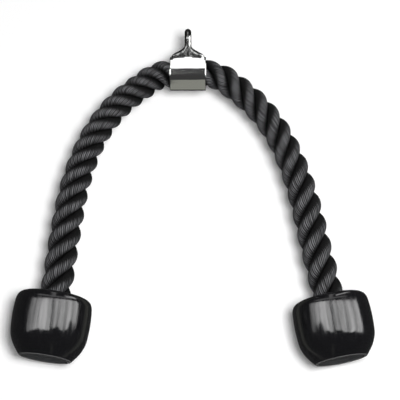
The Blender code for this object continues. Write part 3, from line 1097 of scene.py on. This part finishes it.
class Finishes:
    """The finishes of the attachment, each built once."""

    def __init__(self) -> None:
        """Makes the shared effects, and then the finishes that use them."""
        self.grain = make_grain()
        self.marks = make_marks()
        self.nylon = self.make_nylon()
        self.chrome = self.make_chrome()
        self.plated = self.make_plated()
        self.gloss = self.make_gloss()
        self.matt = self.make_matt()
        self.zinc = self.make_zinc()

    def make_nylon(self) -> bpy.types.Material:
        """Black nylon yarns, each of its own tone, with filaments along them, painted shade in the lines
        between the yarns and in the grooves between the strands, and lighter on the strands' crowns.

        Returns:
            The material.
        """
        surface = Surface(NYLON)
        across, along, _ = surface.parts(surface.node("ShaderNodeUVMap", uv_map="yarns").outputs[0])
        slanted = surface.wrapped(surface.maths("MULTIPLY_ADD", along, 0.9, across), along, 0.22, ROPE.yarns)
        filaments = surface.effect(self.grain, Vector=slanted, Scale=4.0, Fineness=2.6)
        single = surface.noise(surface.wrapped(across, along, 0.25, ROPE.yarns), 1.1, 1.0)
        crest, pairs = surface.ridges(across, 1), surface.ridges(across, 2)
        crown = surface.node("ShaderNodeAttribute", attribute_name="crest").outputs["Fac"]
        yarn = surface.between(single, (0.32, 0.66), (0.40, 1.0))
        # Painted shade in the lines between the yarns, darker still at every second line.
        yarn = surface.times(yarn, surface.between(pairs, (0.2, 0.9), (0.45, 1.0)))
        tone = surface.times(surface.between(crest, (0.15, 0.95), (0.10, 1.0)), yarn)
        tone = surface.times(tone, surface.between(filaments["Tone"], WHOLE, (0.55, 1.0)))
        # Painted shade in the grooves between the strands, from the mesh's crest attribute.
        tone = surface.times(tone, crown)
        # Near black where the painted shade is deepest, lighter on the strands' crowns.
        surface.set("Base Color", surface.mixed(tone, NYLON.shade(0.02), NYLON.shade(3.5)))
        surface.set("Roughness", surface.between(tone, (0.0, 0.6), (0.78, NYLON.roughness)))
        surface.set("Normal", surface.bump(filaments["Height"], 0.00016, 0.6, surface.bump(crest, 0.0005, 0.7)))
        return surface.material

    def make_chrome(self) -> bpy.types.Material:
        """Polished plate over tube: waves left from polishing, and a few scratches.

        Returns:
            The material.
        """
        surface = Surface(CHROME)
        place = surface.place()
        waves = surface.effect(self.grain, Vector=surface.scaled(place, (1.0, 1.0, 0.07)), Scale=150.0, Fineness=4.0)
        marks = surface.effect(self.marks, Vector=place, Scale=150.0, Amount=0.5)
        surface.set("Roughness", surface.between(marks["Scratches"], (0.0, 0.5), (CHROME.roughness, 0.08)))
        surface.set("Normal", surface.bump(waves["Height"], 0.0002, 0.32))
        return surface.material

    def make_plated(self) -> bpy.types.Material:
        """Plate over a bent rod: mottled and speckled, and polished with the sleeve at its feet.

        Returns:
            The material.
        """
        surface = Surface(PLATED_ROD)
        place = surface.place()
        edge = math.sqrt(SLEEVE.outer**2 - (SLEEVE.opening_width / 2) ** 2) - SLEEVE.foot_edge
        rough = surface.between(surface.parts(place)[2], (edge - 0.0004, edge + 0.0004), WHOLE)
        mottle = surface.effect(self.grain, Vector=surface.scaled(place, (1.0, 1.0, 0.45)), Scale=420.0, Fineness=3.0)
        marks = surface.effect(self.marks, Vector=place, Scale=160.0, Amount=0.6)
        speckle = surface.times(surface.between(mottle["Tone"], WHOLE, (1.0, 0.55)), rough)
        surface.set("Base Color", surface.mixed(speckle, CHROME.colour, PLATED_ROD.shade(0.16)))
        worn = surface.maths("MAXIMUM", marks["Scratches"], rough)
        surface.set("Roughness", surface.between(worn, WHOLE, (CHROME.roughness, PLATED_ROD.roughness)))
        surface.set("Normal", surface.bump(mottle["Height"], 0.00006, 0.25))
        return surface.material

    def make_gloss(self) -> bpy.types.Material:
        """Glossy moulded rubber with faint flow lines along the ball's axis, dust specks, and a painted highlight in a
        thin light band at its base rim.

        Returns:
            The material.
        """
        surface = Surface(GLOSS_RUBBER)
        place = surface.place()
        flow = surface.effect(self.grain, Vector=surface.scaled(place, (1.0, 1.0, 0.08)), Scale=260.0, Fineness=3.0)
        marks = surface.effect(self.marks, Vector=place, Scale=90.0, Amount=0.7)
        # Painted highlight: a thin light grey band just above the ball's base edge, mixed with the dust specks.
        rim = surface.between(surface.parts(place)[2], (0.0003 - BALL.height, 0.0008 - BALL.height), (0.5, 0.0))
        dust_and_highlight = surface.maths("MAXIMUM", surface.times(marks["Dust"], 0.2), rim)
        surface.set("Base Color", surface.mixed(dust_and_highlight, GLOSS_RUBBER.colour, DUST_AND_RIM_HIGHLIGHT))
        surface.set("Roughness", surface.between(flow["Tone"], WHOLE, (0.09, GLOSS_RUBBER.roughness + 0.08)))
        surface.set("Normal", surface.bump(flow["Height"], 0.00035, 0.35))
        return surface.material

    def make_matt(self) -> bpy.types.Material:
        """Matt moulded rubber, scuffed where the ball stands on the floor.

        Returns:
            The material.
        """
        surface = Surface(MATT_RUBBER)
        place = surface.place()
        pores = surface.effect(self.grain, Vector=place, Scale=900.0, Fineness=4.0)
        marks = surface.effect(self.marks, Vector=place, Scale=140.0, Amount=0.8)
        surface.set("Base Color", surface.mixed(marks["Scratches"], MATT_RUBBER.colour, MATT_RUBBER.shade(1.8)))
        surface.set("Roughness", surface.between(pores["Tone"], WHOLE, (0.48, 0.64)))
        surface.set("Normal", surface.bump(pores["Height"], 0.0002, 0.35))
        return surface.material

    def make_zinc(self) -> bpy.types.Material:
        """Plated steel of the crimped fittings, dull and lightly scratched.

        Returns:
            The material.
        """
        surface = Surface(ZINC)
        place = surface.place()
        plating = surface.effect(self.grain, Vector=place, Scale=320.0, Fineness=5.0)
        marks = surface.effect(self.marks, Vector=place, Scale=200.0, Amount=0.9)
        surface.set("Base Color", surface.mixed(plating["Tone"], ZINC.colour, ZINC.shade(0.72)))
        surface.set("Roughness", surface.between(marks["Scratches"], (0.0, 0.9), (ZINC.roughness, 0.55)))
        surface.set("Normal", surface.bump(plating["Height"], 0.0001, 0.3))
        return surface.material


def dress(obj: bpy.types.Object, material: bpy.types.Material) -> bpy.types.Object:
    """Gives a piece its material.

    Args:
        obj: the piece.
        material: its material.

    Returns:
        The same piece.
    """
    obj.data.materials.clear()
    obj.data.materials.append(material)
    return obj


class StrandedLeg:
    """The strands of one leg, each as an upper and a lower piece."""

    def __init__(self, leg: Leg, finishes: Finishes) -> None:
        """Takes the leg and the finishes.

        Args:
            leg: the leg that the strands follow.
            finishes: the finishes, of which the strands take the nylon.
        """
        self.leg = leg
        self.rope = LaidRope(leg)
        self.finishes = finishes

    def strand(self, number: int, label: str, start: float, end: float) -> bpy.types.Object:
        """Args:
            number: which of the three strands.
            label: the stretch's name within the leg.
            start: where it starts along the leg.
            end: where it ends.

        Returns:
            The dressed piece.
        """
        piece = dress(self.rope.make(number, label, start, end), self.finishes.nylon)
        line = self.rope.middle_line(number, np.linspace(start, end, CORD_POINTS))
        return piece

    def make(self) -> list[bpy.types.Object]:
        """Builds the upper and the lower stretch of each strand.

        Returns:
            The six pieces.
        """
        leg = self.leg
        side = leg.side.label
        made = []
        for number in range(STRANDS):
            node = f"strand_{number + 1}"
            upper = self.strand(number, "upper", 0.0, leg.arm_middle)
            leg.point(SLEEVE.length / 2)
            leg.point(leg.arm_start)
            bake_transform(upper)
            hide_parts(f"{node}_crown", f"{node}_{side}_arm")
            lower = self.strand(number, "lower", leg.arm_middle, leg.rope_end)
            leg.point(leg.arm_end)
            leg.point(leg.grip_start)
            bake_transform(lower)
            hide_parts(f"{node}_{side}_arm", f"{node}_{side}_flex", f"{node}_{side}_grip")
            made += [upper, lower]
        return made


class Attachment:
    """The whole attachment: its rope, sleeve, eye and end balls."""

    def __init__(self, frame: dict) -> None:
        """Prepares the finishes and the legs.
        """
        self.nodes = frame["nodes"]
        self.finishes = Finishes()
        self.legs = [Leg(LEFT_ROUTE), Leg(RIGHT_ROUTE)]

    def make_crown(self) -> list[bpy.types.Object]:
        """Builds the sleeve and the eye.

        Returns:
            The sleeve and the eye, in this order.
        """
        made = []
        for piece, material, node in (
            (CrownSleeve().make(), self.finishes.chrome, "crown_sleeve"),
            (Eye().make(), self.finishes.plated, "eye"),
        ):
            dress(piece, material)
            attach(piece, "crown")
            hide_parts(node)
            made.append(piece)
        return made

    def make_end(self, leg: Leg) -> list[bpy.types.Object]:
        """Builds the ball and base at the end of one leg, and finishes the fittings inside.

        Args:
            leg: the leg that ends there.

        Returns:
            The ball and the base, in this order.
        """
        side = leg.side.label
        shell, base = EndBall(leg).make()
        for piece, material, slot, node in (
            (shell, self.finishes.gloss, "ball_rubber", f"ball_{side}"),
            (base, self.finishes.matt, "base_rubber", f"base_plug_{side}"),
        ):
            dress(piece, material)
            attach(piece, f"{side}_grip")
            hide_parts(node)
        for fitting in ("washer", "ferrule"):
            dress(self.nodes[f"{fitting}_{side}"], self.finishes.zinc)
        return [shell, base]

    def make(self) -> list[bpy.types.Object]:
        """Builds every piece.

        Returns:
            The new pieces.
        """
        made = self.make_crown()
        for leg in self.legs:
            made += StrandedLeg(leg, self.finishes).make()
            made += self.make_end(leg)
        return made


@dataclass
class Studio:
    """The white wall behind the rope, the light, and the camera."""

    target: Triple = (0.01228, 0.0, -0.17182)
    distance: float = 2.0
    elevation: float = math.radians(-13.2)
    lens: float = 180.0
    sensor: float = 36.0
    wall_gap: float = 0.045
    wall_reach: float = 3.0
    wall_white: float = 0.95
    wall_lift: float = 0.08
    ambient: float = 0.25
    mirrored: float = 0.06
    key_power: float = 37.0
    key_size: float = 0.45
    key_distance: float = 2.0
    key_azimuth: float = math.radians(8)
    key_elevation: float = math.radians(-9)
    overhead_radius: float = 1.3
    overhead_half_width: float = 0.12
    overhead_arc: Pair = (26.5, 100.0)
    overhead_strength: float = 1.5
    strip_turns: Pair = (-55.0, 55.0)
    strip_heights: Pair = (0.53, 0.92)
    panel_strength: float = 9.5
    panel_distance: float = 1.2
    panel_gap: float = 3.0
    panel_turns: Pair = (-68.0, 82.0)
    panel_heights: Pair = (-0.40, 0.26)
    panel_ragged: float = 0.055
    panel_streaks: float = 11.0
    eye_card_strength: float = 4.5
    eye_card_distance: float = 0.30
    eye_card_turns: Pair = (38.0, 120.0)
    eye_card_heights: Pair = (0.03, 0.23)
    card_half_width: float = 0.035
    card_drop: float = 1.2
    card_near: float = 0.73
    card_top: float = 0.080
    card_gap: float = 0.002
    card_tone: Triple = (0.26, 0.265, 0.235)
    card_strength: float = 1.0
    overhead_stations: int = 25
    panel_stations: int = 49
    panel_waves: tuple[Triple, ...] = ((1.0, 7.0, 0.0), (0.6, 19.0, 1.0))
    streak_stretch: Triple = (1.0, 1.0, 0.03)
    streak_noise: Pair = (0.38, 0.60)
    streak_least: float = 0.30
    fade_places: Pair = (-1.25, -0.75)
    fade_tones: Pair = (0.2, 1.0)

    def towards(self, azimuth: float, elevation: float) -> Vector:
        """The direction from the object to a viewer or a lamp."""
        level = math.cos(elevation)
        return Vector((math.sin(azimuth) * level, -math.cos(azimuth) * level, math.sin(elevation)))

    def add_camera(self) -> None:
        """Sets the camera to the view that fits the photograph best."""
        back = self.towards(0.0, self.elevation)
        data = bpy.data.cameras.new("camera")
        data.lens, data.sensor_width = self.lens, self.sensor
        camera = link(bpy.data.objects.new("camera", data))
        camera.location = Vector(self.target) + back * self.distance
        camera.rotation_mode = "QUATERNION"
        camera.rotation_quaternion = (-back).to_track_quat("-Z", "Y")
        bpy.context.scene.camera = camera

    def add_key(self) -> None:
        """Adds the soft lamp near the camera that throws the shadow on the wall."""
        back = self.towards(self.key_azimuth, self.key_elevation)
        lamp = bpy.data.lights.new("key", "AREA")
        lamp.energy, lamp.shape, lamp.size = self.key_power, "SQUARE", self.key_size
        key = link(bpy.data.objects.new("key", lamp))
        key.location = Vector(self.target) + back * self.key_distance
        key.rotation_mode = "QUATERNION"
        key.rotation_quaternion = (-back).to_track_quat("-Z", "Y")
        key.visible_glossy = False

    def sheet(self, name: str, corners: list[Vector]) -> bpy.types.Object:
        """A stage piece from rows of two points each.

        Args:
            name: the piece's name.
            corners: the points, row after row.

        Returns:
            The piece, still without a material.
        """
        bm = bmesh.new()
        verts = [bm.verts.new(point) for point in corners]
        for a, b, c, d in zip(verts[::2], verts[1::2], verts[3::2], verts[2::2]):
            bm.faces.new((a, b, c, d))
        mesh = bpy.data.meshes.new(name)
        bm.to_mesh(mesh)
        bm.free()
        made = link(bpy.data.objects.new(name, mesh))
        return made

    def glow(self, name: str, tone: Triple, strength: float, streaks: float = 0.0) -> bpy.types.Material:
        """An emitting material.

        Args:
            name: the material's name.
            tone: its colour.
            strength: how bright it is, where 1 is white.
            streaks: how close its upright streaks stand, or zero for a plain sheet. A streaked one fades
                to the left.

        Returns:
            The new material.
        """
        material = bpy.data.materials.new(name)
        tree = cleared(material)
        light = tree.node("ShaderNodeEmission")
        tree.feed(light.inputs[0], (*tone, 1))
        tree.feed(light.inputs[1], strength)
        if streaks:
            place = tree.node("ShaderNodeTexCoord").outputs["Object"]
            folds = tree.noise(tree.scaled(place, self.streak_stretch), streaks)
            bright = tree.between(folds, self.streak_noise, (self.streak_least * strength, strength))
            fade = tree.between(tree.parts(place)[0], self.fade_places, self.fade_tones)
            tree.feed(light.inputs[1], tree.times(bright, fade))
        tree.feed(tree.node("ShaderNodeOutputMaterial").inputs[0], light.outputs[0])
        return material

    def only_mirrored(self, piece: bpy.types.Object) -> None:
        """Lets only glossy surfaces see a stage piece."""
        piece.visible_camera = piece.visible_diffuse = piece.visible_shadow = False
        piece.visible_transmission = piece.visible_volume_scatter = False

    def panel(
        self, name: str, distance: float, turns: Pair, heights: Pair, ragged: float = 0.0
    ) -> bpy.types.Object:
        """Adds an upright sheet that stands in an arc round the Z axis and that only gloss shows.

        Args:
            name: the sheet's name.
            distance: how far it stands from the axis.
            turns: the two ends of the arc, in degrees from the viewer's side towards the right.
            heights: its lower and upper edge.
            ragged: how far its lower edge wanders up and down.

        Returns:
            The sheet, still without a material.
        """
        low, high = heights
        corners = []
        for turn in np.radians(np.linspace(*turns, self.panel_stations)):
            wander = ragged * sum(share * math.sin(rate * turn + phase) for share, rate, phase in self.panel_waves)
            for z in (low + wander, high):
                corners.append(Vector((distance * math.sin(turn), -distance * math.cos(turn), z)))
        made = self.sheet(name, corners)
        self.only_mirrored(made)
        return made

    def add_reflectors(self) -> None:
        """Adds what gloss shows: a sheet and a strip overhead, two panels, and a card each for eye and sleeve."""
        corners = []
        for turn in np.radians(np.linspace(*self.overhead_arc, self.overhead_stations)):
            y, z = -self.overhead_radius * math.cos(turn), self.overhead_radius * math.sin(turn)
            for x in (-self.overhead_half_width, self.overhead_half_width):
                corners.append(Vector(self.target) + Vector((x, y, z)))
        overhead = self.sheet("overhead_sheet", corners)
        self.only_mirrored(overhead)
        strip = self.panel("overhead_strip", self.panel_distance, self.strip_turns, self.strip_heights)
        white = self.glow("overhead_white", WHITE, self.overhead_strength)
        for made in (overhead, strip):
            made.data.materials.append(white)
        folded = self.glow("panel_white", WHITE, self.panel_strength, self.panel_streaks)
        left, right = self.panel_turns
        for name, turns in (("left_panel", (-self.panel_gap, left)), ("right_panel", (self.panel_gap, right))):
            made = self.panel(name, self.panel_distance, turns, self.panel_heights, self.panel_ragged)
            made.data.materials.append(folded)
        card = self.panel("eye_card", self.eye_card_distance, self.eye_card_turns, self.eye_card_heights)
        card.data.materials.append(self.glow("eye_card_white", WHITE, self.eye_card_strength))
        back = self.wall_gap - self.card_gap
        corners = []
        for y, z in ((-self.card_near, -self.card_drop), (back, -self.card_drop), (back, -self.card_top)):
            corners += [Vector((x, y, z)) for x in (-self.card_half_width, self.card_half_width)]
        grey = self.sheet("grey_card", corners)
        grey.data.materials.append(self.glow("card_grey", self.card_tone, self.card_strength))
        self.only_mirrored(grey)

    def add_wall(self) -> None:
        """Adds the wall, white in front and clear from behind."""
        reach = self.wall_reach
        corners = [Vector((x, self.wall_gap, z)) for z in (-reach, reach) for x in (-reach, reach)]
        wall = self.sheet("wall", corners)
        material = bpy.data.materials.new("wall_white")
        tree = cleared(material)
        ray = tree.node("ShaderNodeLightPath").outputs
        painted = tree.fed("ShaderNodeBsdfDiffuse", (self.wall_white,) * 3 + (1,))
        lift = tree.fed("ShaderNodeEmission", (*WHITE, 1), tree.times(ray["Is Camera Ray"], self.wall_lift))
        paint = tree.fed("ShaderNodeAddShader", painted, lift)
        dim = tree.fed("ShaderNodeEmission", (*WHITE, 1), self.mirrored)
        shown = tree.fed("ShaderNodeMixShader", ray["Is Glossy Ray"], paint, dim)
        behind = tree.node("ShaderNodeNewGeometry").outputs["Backfacing"]
        sided = tree.fed("ShaderNodeMixShader", behind, shown, tree.fed("ShaderNodeBsdfTransparent"))
        tree.feed(tree.node("ShaderNodeOutputMaterial").inputs[0], sided)
        wall.data.materials.append(material)

    def add_world(self) -> None:
        """Adds soft light from all round, behind a white background."""
        world = bpy.data.worlds.new("studio")
        tree = cleared(world)
        ray = tree.node("ShaderNodeLightPath").outputs
        plain = tree.maths("MULTIPLY_ADD", ray["Is Glossy Ray"], self.mirrored - self.ambient, self.ambient)
        strength = tree.maths("MAXIMUM", plain, ray["Is Camera Ray"])
        light = tree.node("ShaderNodeBackground")
        tree.feed(light.inputs[1], strength)
        tree.feed(tree.node("ShaderNodeOutputWorld").inputs[0], light.outputs[0])
        bpy.context.scene.world = world

    def make(self) -> None:
        """Builds the studio."""
        bpy.context.scene.view_settings.view_transform = "Standard"
        self.add_world()
        self.add_wall()
        self.add_reflectors()
        self.add_key()
        self.add_camera()


def main() -> None:
    """Builds the attachment over its frame, and the studio round it."""
    logging.basicConfig(level=logging.INFO, format="%(name)s: %(message)s")
    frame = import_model()
    for piece in Attachment(frame).make():
        LOG.info("%s: %d faces", piece.name, len(piece.data.polygons))
    Studio().make()


if __name__ == "__main__":
    main()
